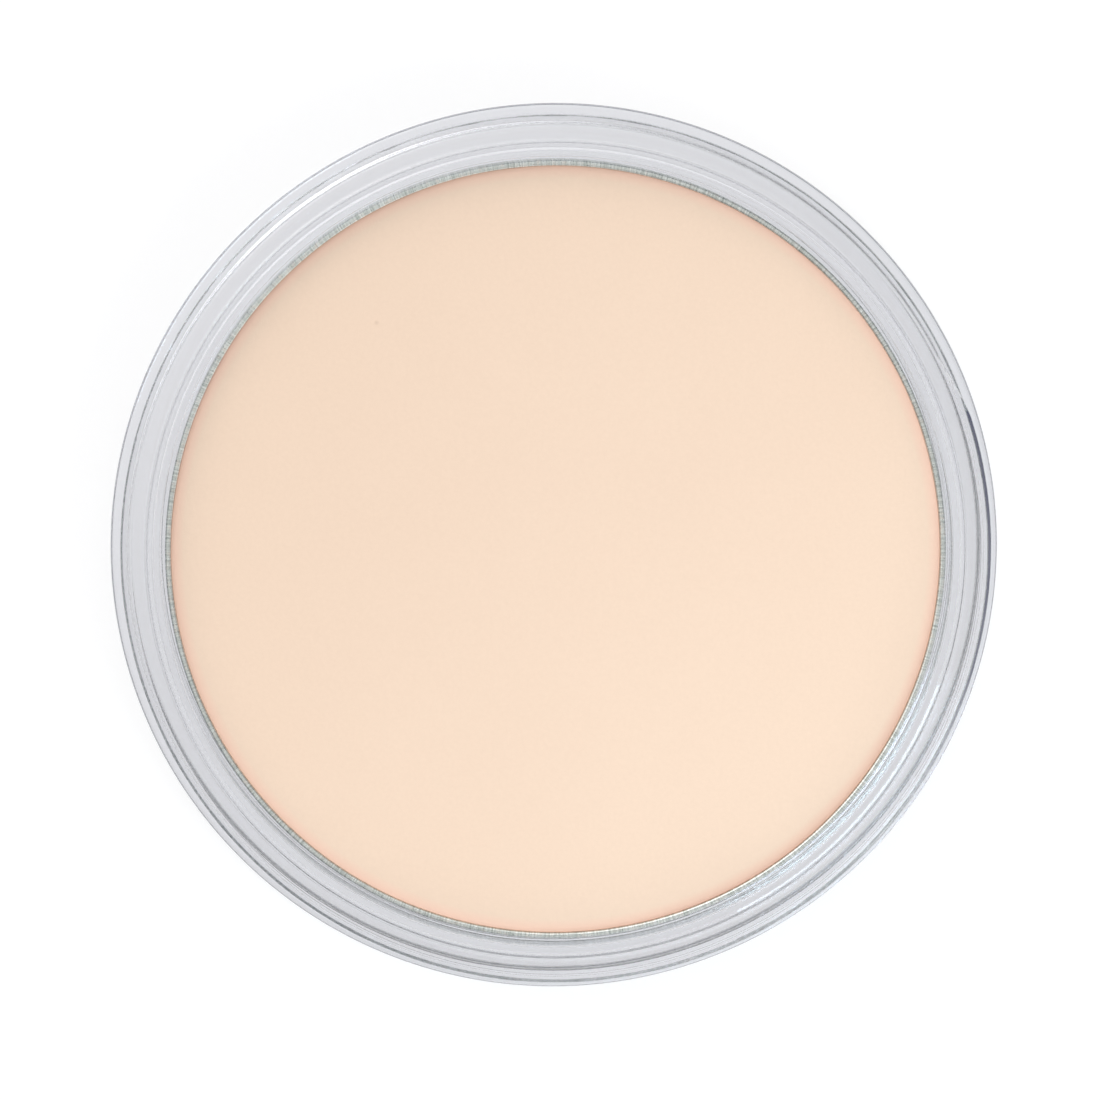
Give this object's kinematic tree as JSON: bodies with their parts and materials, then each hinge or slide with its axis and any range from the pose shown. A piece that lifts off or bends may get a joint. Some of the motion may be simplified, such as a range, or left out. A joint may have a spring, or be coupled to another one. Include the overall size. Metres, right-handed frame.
{
  "type": "screw jar base with pressed colour pan",
  "caption": "Round clear plastic jar base with a screw neck and a foot ring, holding a thin lift-out metal pan pressed full of smooth pale colour; lid not included.",
  "frame": {"origin": "on the jar's axis, at the plane that the foot ring stands on", "axes": "+Z along the jar's axis, out of its mouth; +X is where thread angles are counted from"},
  "size_m": [0.062, 0.062, 0.009],
  "materials": {
    "clear_plastic": "clear polished polystyrene",
    "pan_metal": "drawn sheet, satin",
    "pressed_colour": "pressed pigment powder, matt",
    "adhesive": "removable foam-free tape",
    "label_paper": "blank coated paper"
  },
  "bodies": {
    "jar": {"jar_base": "clear_plastic", "adhesive_ring": "adhesive", "underside_label": "label_paper"},
    "pan": {"pan": "pan_metal", "pressed_cake": "pressed_colour"}
  },
  "joints": [
    {"name": "pan_lift", "type": "slide", "parent": "jar", "child": "pan", "axis": [0, 0, 1], "range_m": [0, 0.012]}
  ]
}
